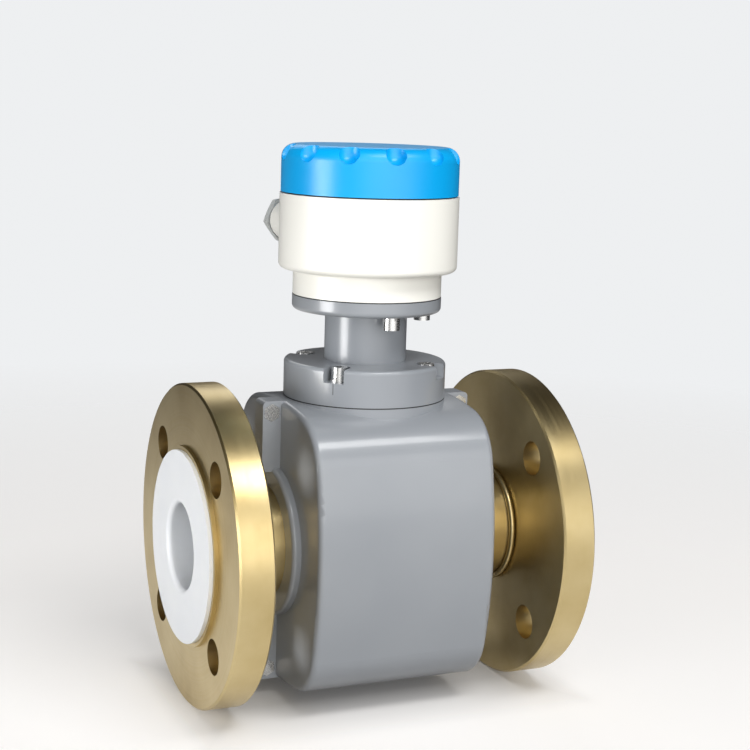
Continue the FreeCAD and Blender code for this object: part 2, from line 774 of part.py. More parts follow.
def housing_fasteners():
    """Screws from the rear and nuts in the front pockets, one pair per lug."""
    seat = "(lug_thickness - nut_thickness + slip_gap)"
    screws = new_body("housing_screws")
    shank_end = "(lug_thickness + slip_gap)"
    head_end = f"({seat} + screw_head_height)"
    shank = add_sketch(screws, "XZ_Plane", "shank_sketch", level=shank_end)
    circle(shank, LUG_BOLT_X, LUG_BOLT_Z, "screw_diameter / 2")
    solid = pad(screws, "shank", shank, f"{shank_end} + {seat}", reverse=True)
    head = add_sketch(screws, "XZ_Plane", "head_sketch", level=f"-{head_end}")
    circle(head, LUG_BOLT_X, LUG_BOLT_Z, "screw_head / 2")
    hexagon(head, LUG_BOLT_X, LUG_BOLT_Z, "screw_socket")
    top = pad(screws, "head", head, "screw_socket_depth")
    neck = add_sketch(screws, "XZ_Plane", "head_base_sketch", level=f"-{seat}")
    circle(neck, LUG_BOLT_X, LUG_BOLT_Z, "screw_head / 2")
    base = pad(screws, "head_base", neck, "screw_head_height - screw_socket_depth", reverse=True)
    four_ways(screws, "screw_set", [solid, base, top], "YZ_Plane", "XY_Plane")
    nuts = new_body("housing_nuts")
    sketch = add_sketch(nuts, "XZ_Plane", "nut_sketch", level="lug_thickness")
    hexagon(sketch, LUG_BOLT_X, LUG_BOLT_Z, "nut_flats")
    circle(sketch, LUG_BOLT_X, LUG_BOLT_Z, SCREW_CLEAR)
    nut = pad(nuts, "nut", sketch, "nut_thickness - slip_gap", reverse=True)
    four_ways(nuts, "nut_set", [nut], "YZ_Plane", "XY_Plane")


def gasket(label, level, outer, inner, hole_circle, count, turn, sweep=360.0):
    """A flat gasket ring with a hole for each screw that passes it."""
    body = new_body(label)
    sketch = add_sketch(body, "XY_Plane", "ring_sketch")
    circle(sketch, "0", "0", f"{outer} / 2")
    circle(sketch, "0", "0", f"{inner} / 2")
    pad(body, "ring", sketch, "gasket_thickness")
    holes = add_sketch(body, "XY_Plane", "hole_sketch", along=f"{hole_circle} / 2")
    circle(holes, "0", "0", SCREW_CLEAR)
    cut = drill(body, "hole", holes)
    polar(body, "holes", [cut], "Z_Axis", count, sweep)
    place(body, z=level, angle=turn)


NECK_SCREW_TURN = 180.0 / SIZES["neck_screw_count"]
HEAD_SCREW_TURN = -90.0
HEAD_SCREW_SWEEP = 180.0


def neck_pockets(body):
    """Screw pockets cut down into the base disc and open at its rim."""
    for name, wide in (("pocket_end", False), ("pocket_mouth", True)):
        sketch = add_sketch(body, "XY_Plane", f"{name}_sketch", level="neck_base_thickness",
                            turn=NECK_SCREW_TURN)
        centre = "(neck_screw_circle / 2)"
        if wide:
            box_outline(sketch, centre, "neck_base_diameter / 2 + 1",
                        "-pocket_width / 2", "pocket_width / 2")
        else:
            circle(sketch, centre, "0", "pocket_width / 2")
        cut = pocket(body, name, sketch, "pocket_depth")
        polar(body, f"{name}s", [cut], "Z_Axis", "neck_screw_count")


def neck():
    """The neck: a base disc, a tube and a top flange moulded in one piece."""
    body = new_body("neck_stem")
    bore = "(neck_bore / 2)"
    tube = "(neck_tube_diameter / 2)"
    base = "(neck_base_diameter / 2)"
    top = "(neck_flange_diameter / 2)"
    flange_low = "(neck_height - neck_flange_thickness)"
    turned(body, "stem", [
        (bore, "0"), (base, "0"), (base, "neck_base_thickness"), (tube, "neck_base_thickness"),
        (tube, flange_low), (top, flange_low), (top, "neck_height"), (bore, "neck_height"),
    ])
    finish_edges(body, "Fillet", "base_rounding",
                 rings(2, (base, "neck_base_thickness")), "neck_base_edge")
    finish_edges(body, "Fillet", "flange_rounding", rings(2, (top, flange_low)), "neck_flange_edge")
    neck_pockets(body)
    lower = add_sketch(body, "XY_Plane", "base_hole_sketch", turn=NECK_SCREW_TURN)
    circle(lower, "neck_screw_circle / 2", "0", SCREW_CLEAR)
    cut = pocket(body, "base_hole", lower, "neck_base_thickness", reverse=True)
    polar(body, "base_holes", [cut], "Z_Axis", "neck_screw_count")
    upper = add_sketch(body, "XY_Plane", "flange_hole_sketch", level="neck_height",
                       turn=HEAD_SCREW_TURN)
    circle(upper, "head_screw_circle / 2", "0", SCREW_CLEAR)
    cut = pocket(body, "flange_hole", upper, "neck_flange_thickness")
    polar(body, "flange_holes", [cut], "Z_Axis", "head_screw_count", HEAD_SCREW_SWEEP)
    place(body, z=NECK_LEVEL)


def neck_fasteners():
    """The screws that hold the neck, each on a flat and a split washer."""
    floor = f"({NECK_LEVEL} + neck_base_thickness - pocket_depth)"
    count = "neck_screw_count"
    flat = washer_group("neck_washers", "neck_screw_circle", count,
                        "washer_diameter", "washer_thickness")
    place(flat, z=floor, angle=NECK_SCREW_TURN)
    split = washer_group("neck_spring_washers", "neck_screw_circle", count,
                         "spring_diameter", "spring_thickness", "spring_slit")
    place(split, z=f"{floor} + washer_thickness", angle=NECK_SCREW_TURN)
    screws = screw_group("neck_screws", "neck_screw_circle", count, "neck_screw_length")
    place(screws, z=f"{floor} + washer_thickness + spring_thickness", angle=NECK_SCREW_TURN)


def head_fasteners():
    """The screws that hold the head, driven up from below the neck's flange."""
    under = f"({NECK_TOP} - neck_flange_thickness)"
    count = "head_screw_count"
    split = washer_group("head_spring_washers", "head_screw_circle", count,
                         "spring_diameter", "spring_thickness", "spring_slit", HEAD_SCREW_SWEEP)
    place(split, z=f"{under} - spring_thickness", angle=HEAD_SCREW_TURN)
    screws = screw_group("head_screws", "head_screw_circle", count, "head_screw_length",
                         HEAD_SCREW_SWEEP)
    # The group is drawn heads up, so it is turned over before it takes its place on the circle.
    flip = FreeCAD.Rotation(FreeCAD.Vector(0, 0, 1), HEAD_SCREW_TURN).multiply(
        FreeCAD.Rotation(FreeCAD.Vector(1, 0, 0), 180.0)).multiply(
        FreeCAD.Rotation(FreeCAD.Vector(0, 0, 1), -HEAD_SCREW_SWEEP))
    place(screws, z=f"{under} - spring_thickness")
    screws.Placement.Rotation = flip


def entry_sketch(body, name, level, radius):
    """A circle for each cable entry, drawn on a plane that faces the rear."""
    sketch = add_sketch(body, "XZ_Plane", name, level=f"-{level}")
    for sign in ("", "-"):
        circle(sketch, f"{sign}entry_spacing / 2", "entry_height", radius)
    return sketch


def converter_body():
    """The cast head: a stepped pot with two cable entries at the rear."""
    body = new_body("converter_body")
    foot = "(head_foot_diameter / 2)"
    rim = "(head_diameter / 2)"
    step = "(head_foot_height + head_wall)"
    turned(body, "casting", [
        ("0", "0"), (foot, "0"), (foot, "head_foot_height"), (rim, "head_foot_height"),
        (rim, "head_height"), ("0", "head_height"),
    ])
    finish_edges(body, "Fillet", "shoulder_rounding",
                 rings(2, (rim, "head_foot_height")), "head_edge")
    finish_edges(body, "Fillet", "step_rounding",
                 rings(2, (foot, "head_foot_height")), "head_step_edge")
    bosses = entry_sketch(body, "entry_boss_sketch", "entry_reach", "entry_boss / 2")
    pad(body, "entry_bosses", bosses, "entry_reach / 2")
    turned_cut(body, "chamber", [
        ("0", "head_floor"), (FOOT_BORE, "head_floor"), (FOOT_BORE, step), (HEAD_BORE, step),
        (HEAD_BORE, "head_height + 1"), ("0", "head_height + 1"),
    ])
    bores = entry_sketch(body, "entry_bore_sketch", "entry_reach", "entry_bore / 2")
    pocket(body, "entry_bores", bores, "entry_reach / 2", reverse=True)
    lead = add_sketch(body, "XY_Plane", "lead_hole_sketch")
    circle(lead, "0", "0", "lead_hole / 2")
    pocket(body, "lead_hole_cut", lead, "head_floor", reverse=True)
    hole = add_sketch(body, "XY_Plane", "screw_hole_sketch", turn=HEAD_SCREW_TURN)
    circle(hole, "head_screw_circle / 2", "0", SCREW_CLEAR)
    cut = pocket(body, "screw_hole", hole, "head_floor", reverse=True)
    polar(body, "screw_holes", [cut], "Z_Axis", "head_screw_count", HEAD_SCREW_SWEEP)
    place(body, z=HEAD_LEVEL)


PLUG_TURN = 24.0  # where each plug's thread happens to tighten


def entry_plug(label, sign):
    """A hexagonal blanking plug, drawn along Z and screwed in from the rear."""
    body = new_body(label)
    head = add_sketch(body, "XY_Plane", "head_sketch", turn=PLUG_TURN)
    hexagon(head, "0", "0", "plug_flats")
    pad(body, "head", head, "plug_head")
    corner = "(plug_flats / sqrt(3))"
    inner = "(plug_flats / 2 - plug_chamfer_bite)"
    turned_cut(body, "head_chamfer", [
        (inner, "plug_head + 1"), (inner, "plug_head"),
        (f"{corner} + 1", "plug_head - plug_chamfer * 2"), (f"{corner} + 1", "plug_head + 1"),
    ])
    shank = add_sketch(body, "XY_Plane", "shank_sketch")
    circle(shank, "0", "0", "entry_bore / 2 - slip_gap")
    pad(body, "shank", shank, "plug_shank + plug_seal_thickness", reverse=True)
    hollow = add_sketch(body, "XY_Plane", "hollow_sketch",
                        level="-(plug_shank + plug_seal_thickness)")
    circle(hollow, "0", "0", "plug_hollow / 2")
    pocket(body, "hollow", hollow, "plug_shank", reverse=True)
    place(body, x=f"{sign}entry_spacing / 2", y="entry_reach + plug_seal_thickness",
          z=ENTRY_LEVEL, axis=(1, 0, 0), angle=-90.0)


def plug_seal(label, sign):
    """The sealing ring between a plug and its boss."""
    body = new_body(label)
    sketch = add_sketch(body, "XY_Plane", "ring_sketch")
    circle(sketch, "0", "0", "plug_seal_diameter / 2")
    circle(sketch, "0", "0", "entry_bore / 2 + slip_gap")
    pad(body, "ring", sketch, "plug_seal_thickness")
    place(body, x=f"{sign}entry_spacing / 2", y="entry_reach", z=ENTRY_LEVEL,
          axis=(1, 0, 0), angle=-90.0)


SEAL_RADIUS = f"(({HEAD_BORE} + cap_diameter / 2) / 2)"


def cap():
    """The screw cap: a rounded lid with finger scallops and a male thread."""
    body = new_body("screw_cap")
    rim = "(cap_diameter / 2)"
    thread = f"({HEAD_BORE} - slip_gap)"
    sleeve = f"({thread} - cap_thread_wall)"
    ceiling = "(cap_height - cap_roof)"
    turned(body, "lid", [
        ("0", "cap_height"), (rim, "cap_height"), (rim, "0"), (thread, "0"),
        (thread, "-cap_thread_length"), (sleeve, "-cap_thread_length"), (sleeve, "cap_roof / 2"),
        ("cap_hollow / 2", "cap_roof / 2"), ("cap_hollow / 2", ceiling), ("0", ceiling),
    ])
    finish_edges(body, "Fillet", "rim_rounding", rings(2, (rim, "cap_height")), "cap_edge")
    half = "(seal_section / 2 + slip_gap)"
    turned_cut(body, "seal_groove", [
        (f"{SEAL_RADIUS} - {half}", "-1"), (f"{SEAL_RADIUS} + {half}", "-1"),
        (f"{SEAL_RADIUS} + {half}", "seal_groove_depth"),
        (f"{SEAL_RADIUS} - {half}", "seal_groove_depth"),
    ])
    scallop(body)
    place(body, z=CAP_LEVEL, angle=SIZES["scallop_phase"])


def scallop(body):
    """Ball-ended finger grips cut down into the rim of the cap."""
    sketch = add_sketch(body, "XZ_Plane", "scallop_sketch",
                        along="cap_diameter / 2 - scallop_inset")
    low = "(cap_height - scallop_depth)"
    middle = f"({low} + scallop_radius)"
    top = "(cap_height + 1)"
    corners = [("0", low), ("scallop_radius", middle), ("scallop_radius", top), ("0", top)]
    points = [(value(x), value(y)) for x, y in corners]
    centre = (0.0, value(middle))
    ball = arc(sketch, centre, value("scallop_radius"), points[0], points[1])
    lines = []
    for start, end in zip(points[1:], points[2:] + points[:1]):
        segment = Part.LineSegment(FreeCAD.Vector(*start, 0), FreeCAD.Vector(*end, 0))
        lines.append(sketch.addGeometry(segment, False))
    chain = [ball] + lines
    for first, second in zip(chain, chain[1:] + chain[:1]):
        sketch.addConstraint(Sketcher.Constraint("Coincident", first, 2, second, 1))
    for index, (x, y) in zip(lines, corners[1:]):
        pin(sketch, index, 1, x, y)
    pin(sketch, ball, 1, *corners[0])
    limit(sketch, "DistanceY", ball, 3, text=middle)
    cut = add_feature(body, "Groove", "scallop", sketch,
                      ReferenceAxis=(sketch, ["V_Axis"]), Angle=360)
    polar(body, "scallops", [cut], "Z_Axis", "scallop_count")


def cap_seal():
    """The sealing ring squeezed between the cap and the head."""
    body = new_body("cap_seal")
    sketch = add_sketch(body, "XZ_Plane", "section_sketch")
    circle(sketch, SEAL_RADIUS, "seal_section / 2", "seal_section / 2")
    revolve(body, "ring", sketch, "Z_Axis")
    place(body, z=f"{HEAD_LEVEL} + head_height + slip_gap")


BOARD_LEVELS = ("(head_floor + board_pitch)",
                "(head_floor + 2 * board_pitch + board_thickness)")


def board(label, level):
    """A round circuit board with a lead hole and a hole for each spacer."""
    body = new_body(label)
    sketch = add_sketch(body, "XY_Plane", "board_sketch")
    circle(sketch, "0", "0", "board_diameter / 2")
    circle(sketch, "0", "0", "lead_hole / 2")
    pad(body, "plate", sketch, "board_thickness")
    holes = add_sketch(body, "XY_Plane", "screw_hole_sketch", along="spacer_circle / 2")
    circle(holes, "0", "0", "spacer_thread / 2 + slip_gap")
    cut = drill(body, "screw_hole", holes)
    polar(body, "screw_holes", [cut], "Z_Axis", "spacer_count")
    place(body, z=f"{HEAD_LEVEL} + {level}", angle=SIZES["spacer_turn"])


def board_pillars(label, level):
    """Four hexagonal pillars that carry a circuit board."""
    body = new_body(label)
    sketch = add_sketch(body, "XY_Plane", "pillar_sketch", along="spacer_circle / 2")
    hexagon(sketch, "0", "0", "spacer_flats")
    pillar = pad(body, "pillar", sketch, "board_pitch")
    polar(body, "pillars", [pillar], "Z_Axis", "spacer_count")
    place(body, z=f"{HEAD_LEVEL} + {level}", angle=SIZES["spacer_turn"])


def board_screws():
    """Pan head screws that hold the upper board on its pillars."""
    body = new_body("board_screws")
    profile = add_sketch(body, "XZ_Plane", "screw_profile", along="spacer_circle / 2")
    outline(profile, [
        ("0", "-board_thickness"), ("spacer_thread / 2", "-board_thickness"),
        ("spacer_thread / 2", "0"), ("board_screw_head / 2", "0"),
        ("board_screw_crown / 2", "board_screw_rise"), ("0", "board_screw_rise"),
    ])
    solid = add_feature(body, "Revolution", "screw", profile,
                        ReferenceAxis=(profile, ["V_Axis"]), Angle=360)
    polar(body, "screw_ring", [solid], "Z_Axis", "spacer_count")
    place(body, z=f"{HEAD_LEVEL} + {BOARD_LEVELS[1]} + board_thickness", angle=SIZES["spacer_turn"])


TERMINAL_BASE = f"({HEAD_LEVEL} + {BOARD_LEVELS[1]} + board_thickness)"
TERMINAL_PITCH = "(terminal_length / terminal_count)"
TERMINAL_FIRST = f"({TERMINAL_PITCH} / 2 - terminal_length / 2)"


def row(body, name, features):
    """Repeat features along the terminal block, one copy to a terminal."""
    pattern = body.newObject("PartDesign::LinearPattern", name)
    pattern.Originals = features
    pattern.Direction = (origin_feature(body, "X_Axis"), [""])
    pattern.setExpression("Length", bound("terminal_length - terminal_length / terminal_count"))
    pattern.setExpression("Occurrences", bound("terminal_count"))
    body.Tip = pattern


def terminal_block():
    """The terminal strip on the upper board, with a wire mouth and a screw well each."""
    body = new_body("terminal_block")
    sketch = add_sketch(body, "XY_Plane", "block_sketch")
    box_outline(sketch, "-terminal_length / 2", "terminal_length / 2",
                "-terminal_width / 2", "terminal_width / 2")
    pad(body, "block", sketch, "terminal_height")
    well = add_sketch(body, "XY_Plane", "well_sketch", level="terminal_height")
    circle(well, TERMINAL_FIRST, "0", "terminal_screw / 2 + slip_gap")
    wells = pocket(body, "well", well, "terminal_height / 2")
    row(body, "wells", [wells])
    mouth = add_sketch(body, "XZ_Plane", "mouth_sketch", level="-terminal_width / 2")
    side = "(terminal_screw / 2)"
    box_outline(mouth, f"{TERMINAL_FIRST} - {side}", f"{TERMINAL_FIRST} + {side}",
                "terminal_mouth_level", "terminal_mouth_level + terminal_screw / 2")
    mouths = pocket(body, "mouth", mouth, "terminal_width / 2", reverse=True)
    row(body, "mouths", [mouths])
    place(body, y="-terminal_offset", z=TERMINAL_BASE)


def terminal_screws():
    """Slotted screws that clamp the wires, one in each well."""
    body = new_body("terminal_screws")
    sketch = add_sketch(body, "XY_Plane", "screw_sketch", level="terminal_height / 2")
    circle(sketch, TERMINAL_FIRST, "0", "terminal_screw / 2")
    solid = pad(body, "screw", sketch, "terminal_screw_height")
    slot = add_sketch(body, "XY_Plane", "slot_sketch", level="terminal_height / 2 + terminal_screw_height")
    half = "(terminal_slot_width / 2)"
    box_outline(slot, f"{TERMINAL_FIRST} - {half}", f"{TERMINAL_FIRST} + {half}",
                "-terminal_screw", "terminal_screw")
    cut = pocket(body, "slot", slot, "terminal_slot_depth")
    row(body, "screw_row", [solid, cut])
    place(body, y="-terminal_offset", z=TERMINAL_BASE)


def lead(label, sign):
    """A lead that climbs from the coils through the neck to the lower board."""
    cable = doc.addObject("Part::Cylinder", label)
    cable.Label = label
    start = f"({YOKE_INSIDE} + yoke_thickness + lead_diameter)"
    cable.setExpression("Radius", bound("lead_diameter / 2"))
    cable.setExpression("Height", bound(f"{HEAD_LEVEL} + {BOARD_LEVELS[0]} - {start}"))
    cable.setExpression("Placement.Base.x", bound(f"{sign}lead_diameter"))
    cable.setExpression("Placement.Base.z", bound(start))


def build():
    flow_tube()
    liner()
    for label, angle in (("inlet", 180.0), ("outlet", 0.0)):
        flange(f"{label}_flange", angle)
        liner_flare(f"{label}_liner_flare", angle)
        weld(f"{label}_weld", angle)
    for side in ELECTRODE_ANGLES:
        electrode(side)
        electrode_sleeve(side)
        electrode_boss(side)
    electrode_nuts()
    for side in SADDLE_ANGLES:
        coil(side)
        pole_shoe(side)
    yoke()
    housing_shell("front_housing_shell", 0.0, hexagon, "nut_flats + 2 * slip_gap",
                  "nut_thickness")
    housing_shell("rear_housing_shell", 180.0, circle, "screw_head / 2 + 2 * slip_gap",
                  "nut_thickness")
    housing_fasteners()
    gasket("neck_gasket", SEAT_LEVEL, "neck_base_diameter", "neck_bore",
           "neck_screw_circle", "neck_screw_count", NECK_SCREW_TURN)
    neck()
    neck_fasteners()
    gasket("head_gasket", NECK_TOP, "head_foot_diameter", "neck_bore",
           "head_screw_circle", "head_screw_count", HEAD_SCREW_TURN, HEAD_SCREW_SWEEP)
    head_fasteners()
    converter_body()
    for label, sign in (("inlet_side", "-"), ("outlet_side", "")):
        entry_plug(f"{label}_plug", sign)
        plug_seal(f"{label}_plug_seal", sign)
    cap()
    cap_seal()
    board("power_board", BOARD_LEVELS[0])
    board("main_board", BOARD_LEVELS[1])
    board_pillars("lower_pillars", "head_floor")
    board_pillars("upper_pillars", f"({BOARD_LEVELS[0]} + board_thickness)")
    board_screws()
    terminal_block()
    terminal_screws()
    lead("coil_lead", "-")
    lead("signal_lead", "")


def check(item):
    """Stop on a feature that failed, since its shape would be an old one."""
    bad = {"Invalid", "Error"} & set(item.State)
    if bad:
        raise RuntimeError(f"{item.Label} is {', '.join(bad)}")


def write_pieces():
    doc.recompute()
    for item in doc.Objects:
        check(item)
    for kind in ("PartDesign::Body", "Part::Cylinder"):
        for piece in doc.findObjects(kind):
            if piece.Shape.isNull() or not piece.Shape.isValid():
                raise RuntimeError(f"{piece.Label} has no sound shape")
            piece.Shape.exportStep(f"parts/{piece.Label}.step")


build()
write_pieces()
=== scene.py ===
"""Electromagnetic flow meter: materials, cast and welded detail, and a soft studio."""
import json
import math

import bmesh
import bpy
from mathutils import Matrix, Vector


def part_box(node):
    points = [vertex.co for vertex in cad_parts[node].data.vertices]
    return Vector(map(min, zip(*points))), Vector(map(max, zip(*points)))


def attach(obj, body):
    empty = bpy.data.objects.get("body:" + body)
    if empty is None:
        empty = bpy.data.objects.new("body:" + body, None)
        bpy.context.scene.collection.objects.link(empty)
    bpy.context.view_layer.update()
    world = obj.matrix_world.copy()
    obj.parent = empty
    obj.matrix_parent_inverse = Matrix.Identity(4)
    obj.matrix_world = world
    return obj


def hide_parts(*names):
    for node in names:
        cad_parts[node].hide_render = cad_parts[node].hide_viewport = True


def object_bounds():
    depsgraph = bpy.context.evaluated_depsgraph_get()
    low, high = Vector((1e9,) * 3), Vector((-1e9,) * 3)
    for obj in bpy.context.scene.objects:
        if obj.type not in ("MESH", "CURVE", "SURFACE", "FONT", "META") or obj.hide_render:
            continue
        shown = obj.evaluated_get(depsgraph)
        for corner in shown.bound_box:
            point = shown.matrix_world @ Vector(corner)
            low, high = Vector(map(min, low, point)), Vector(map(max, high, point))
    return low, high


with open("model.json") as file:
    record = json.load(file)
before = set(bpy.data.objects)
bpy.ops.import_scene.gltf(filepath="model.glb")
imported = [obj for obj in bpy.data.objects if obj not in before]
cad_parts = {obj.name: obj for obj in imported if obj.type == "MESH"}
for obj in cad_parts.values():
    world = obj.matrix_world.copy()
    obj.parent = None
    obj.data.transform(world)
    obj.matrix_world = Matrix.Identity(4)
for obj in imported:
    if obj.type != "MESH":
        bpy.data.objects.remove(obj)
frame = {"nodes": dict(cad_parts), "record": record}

CAD_BOX = [list(corner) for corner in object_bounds()]
NODES = frame["nodes"]
METER = "meter"

# ---------------------------------------------------------------- camera

CAMERA_PLACE = Vector((-0.33411, -0.76832, 0.22753))
CAMERA_AIM = Vector((0.00668, 0.0, 0.08416))
CAMERA_ROLL = math.radians(1.78)
CAMERA_LENS = 78.3
CAMERA_SHIFT = 1.0 / 750.0

# ---------------------------------------------------------------- colours

GOLD = (0.54, 0.428, 0.215, 1)
GOLD_PALE = (0.60, 0.490, 0.265, 1)
GOLD_DEEP = (0.46, 0.350, 0.160, 1)
IVORY = (0.93, 0.92, 0.86, 1)
IVORY_SHADE = (0.905, 0.895, 0.83, 1)
AZURE = (0.0, 0.40, 0.86, 1)
AZURE_DEEP = (0.0, 0.375, 0.82, 1)
GREY = (0.300, 0.318, 0.342, 1)
GREY_DARK = (0.278, 0.297, 0.322, 1)
FLARE_WHITE = (0.93, 0.95, 0.97, 1)
FLARE_SHADE = (0.88, 0.905, 0.94, 1)
BRIGHT = (0.66, 0.66, 0.65, 1)
BRIGHT_DULL = (0.48, 0.48, 0.47, 1)
PLUG_GREY = (0.53, 0.55, 0.54, 1)
PLUG_SHADE = (0.46, 0.48, 0.47, 1)


# Each parting line: its bearing in degrees, and the levels it runs between.
PARTING_LINES = ((-135.7, 0.1305, 0.1400), (-92.0, 0.1305, 0.1400), (-135.0, 0.0800, 0.1005))
PARTING_WIDTH = 0.0003
PARTING_INNER = 0.025
PARTING_DEPTH = 0.0002
PARTING_SHADE = (0.10, 0.107, 0.115, 1)

CRISP_ANGLE = math.radians(32.0)


class Shader:
    """A small builder for one node material around a Principled shader."""

    def __init__(self, name, **sockets):
        self.material = bpy.data.materials.new(name)
        self.material.use_nodes = True
        self.tree = self.material.node_tree
        self.skin = self.tree.nodes["Principled BSDF"]
        for key, setting in sockets.items():
            self.skin.inputs[key.replace("_", " ")].default_value = setting
        self.place = self.node("ShaderNodeTexCoord").outputs["Object"]
        self.height = None

    def node(self, kind, **settings):
        node = self.tree.nodes.new(kind)
        for key, setting in settings.items():
            setattr(node, key, setting)
        return node

    def link(self, source, target):
        self.tree.links.new(source, target)

    def math(self, operation, *terms):
        """A math node, fed by sockets and by plain numbers alike."""
        node = self.node("ShaderNodeMath", operation=operation)
        for socket, term in zip(node.inputs, terms):
            if isinstance(term, (int, float)):
                socket.default_value = term
            else:
                self.link(term, socket)
        return node.outputs[0]

    def noise(self, scale, detail=3.0, vector=None):
        """Noise in the piece's own space, or along another vector."""
        node = self.node("ShaderNodeTexNoise")
        node.inputs["Scale"].default_value = scale
        node.inputs["Detail"].default_value = detail
        self.link(vector or self.place, node.inputs["Vector"])
        return node.outputs["Fac"]

    def ramp(self, source, low, high, low_value, high_value):
        """The source, mapped from low..high to low_value..high_value."""
        node = self.node("ShaderNodeMapRange")
        settings = (low, high, low_value, high_value)
        for socket, setting in zip(list(node.inputs)[1:5], settings):
            socket.default_value = setting
        self.link(source, node.inputs[0])
        return node.outputs[0]

    def colours(self, source, *stops):
        node = self.node("ShaderNodeValToRGB")
        bar = node.color_ramp
        bar.elements[0].position, bar.elements[0].color = stops[0]
        bar.elements[1].position, bar.elements[1].color = stops[-1]
        for position, colour in stops[1:-1]:
            bar.elements.new(position).color = colour
        self.link(source, node.inputs[0])
        self.link(node.outputs[0], self.skin.inputs["Base Color"])

    def rough(self, source, low, high):
        self.link(self.ramp(source, 0.3, 0.7, low, high), self.skin.inputs["Roughness"])

    def bump(self, source, depth, strength=1.0):
        """Adds a bump over those already there."""
        node = self.node("ShaderNodeBump")
        node.inputs["Strength"].default_value = strength
        node.inputs["Distance"].default_value = depth
        self.link(source, node.inputs["Height"])
        if self.height:
            self.link(self.height, node.inputs["Normal"])
        self.height = node.outputs["Normal"]
        self.link(self.height, self.skin.inputs["Normal"])

    def turned(self, axis):
        """A vector of place along an axis and distance from it, for lathe marks."""
        split = self.node("ShaderNodeSeparateXYZ")
        self.link(self.place, split.inputs[0])
        along = split.outputs[axis]
        across = [split.outputs[other] for other in "XYZ" if other != axis]
        squares = [self.math("MULTIPLY", part, part) for part in across]
        radius = self.math("SQRT", self.math("ADD", *squares))
        joined = self.node("ShaderNodeCombineXYZ")
        self.link(along, joined.inputs[0])
        self.link(radius, joined.inputs[1])
        return joined.outputs[0]


def plated(name, pale, middle, deep, axis, roughness):
    """Plated or bare metal, with faint lathe marks around an axis and a mottled tone."""
    shade = Shader(name, Metallic=1.0)
    marks = shade.noise(1500.0, 4.0, shade.turned(axis))
    blush = shade.noise(26.0, 4.0)
    shade.colours(blush, (0.3, deep), (0.5, middle), (0.72, pale))
    shade.rough(marks, *roughness)
    shade.bump(marks, 0.00001, 0.10)
    shade.bump(shade.noise(700.0, 2.0), 0.00001, 0.12)
    return shade.material


def moulded(name, main, shade_colour, roughness, grain, coat=0.0):
    """Paint or moulded plastic, with a slow drift of tone and a fine grain."""
    shade = Shader(name, Coat_Weight=coat, Coat_Roughness=0.12)
    cloud = shade.noise(14.0, 3.0)
    shade.colours(cloud, (0.35, shade_colour), (0.65, main))
    shade.rough(shade.noise(180.0, 3.0), *roughness)
    shade.bump(shade.noise(grain, 2.0), 0.00003, 0.22)
    return shade


def cast_grey():
    """Satin grey paint, with the thin parting lines that the neck's mould halves leave."""
    shade = moulded("grey_moulding", GREY, GREY_DARK, (0.28, 0.32), 900.0, 0.4)
    split = shade.node("ShaderNodeSeparateXYZ")
    shade.link(shade.place, split.inputs[0])
    x, y, z = split.outputs
    line = None
    for angle, low, high in PARTING_LINES:
        across, along = math.sin(math.radians(angle)), math.cos(math.radians(angle))
        off = shade.math("SUBTRACT", shade.math("MULTIPLY", x, across),
                         shade.math("MULTIPLY", y, along))
        near = shade.ramp(shade.math("ABSOLUTE", off), PARTING_WIDTH / 2, PARTING_WIDTH, 1.0, 0.0)
        ahead = shade.math("GREATER_THAN",
                           shade.math("ADD", shade.math("MULTIPLY", x, along),
                                      shade.math("MULTIPLY", y, across)), PARTING_INNER)
        inside = shade.math("MULTIPLY", shade.math("GREATER_THAN", z, low),
                            shade.math("LESS_THAN", z, high))
        here = shade.math("MULTIPLY", near, shade.math("MULTIPLY", ahead, inside))
        line = here if line is None else shade.math("MAXIMUM", line, here)
    base = shade.skin.inputs["Base Color"]
    paint = base.links[0].from_socket
    mix = shade.node("ShaderNodeMix", data_type="RGBA")
    shade.link(line, mix.inputs[0])
    shade.link(paint, mix.inputs[6])
    mix.inputs[7].default_value = PARTING_SHADE
    shade.link(mix.outputs[2], base)
    shade.bump(shade.math("SUBTRACT", 1.0, line), PARTING_DEPTH, 0.6)
    return shade.material


def fluoropolymer():
    """The waxy white lining, with the rings that facing it leaves."""
    shade = Shader("ptfe_skin", Subsurface_Weight=0.25, Subsurface_Scale=0.004,
                   Subsurface_Radius=(1.0, 1.0, 1.1))
    shade.colours(shade.noise(30.0, 3.0), (0.35, FLARE_SHADE), (0.7, FLARE_WHITE))
    rings = shade.noise(900.0, 3.0, shade.turned("X"))
    shade.rough(rings, 0.30, 0.44)
    shade.bump(rings, 0.00002, 0.35)
    return shade.material


def plain(name, low, high, roughness, metallic=0.0, scale=260.0):
    """A speckled surface for the small and hidden pieces."""
    shade = Shader(name, Metallic=metallic)
    shade.colours(shade.noise(scale, 4.0), (0.3, low), (0.7, high))
    shade.rough(shade.noise(scale * 2, 3.0), *roughness)
    shade.bump(shade.noise(scale * 4, 2.0), 0.00004, 0.3)
    return shade.material


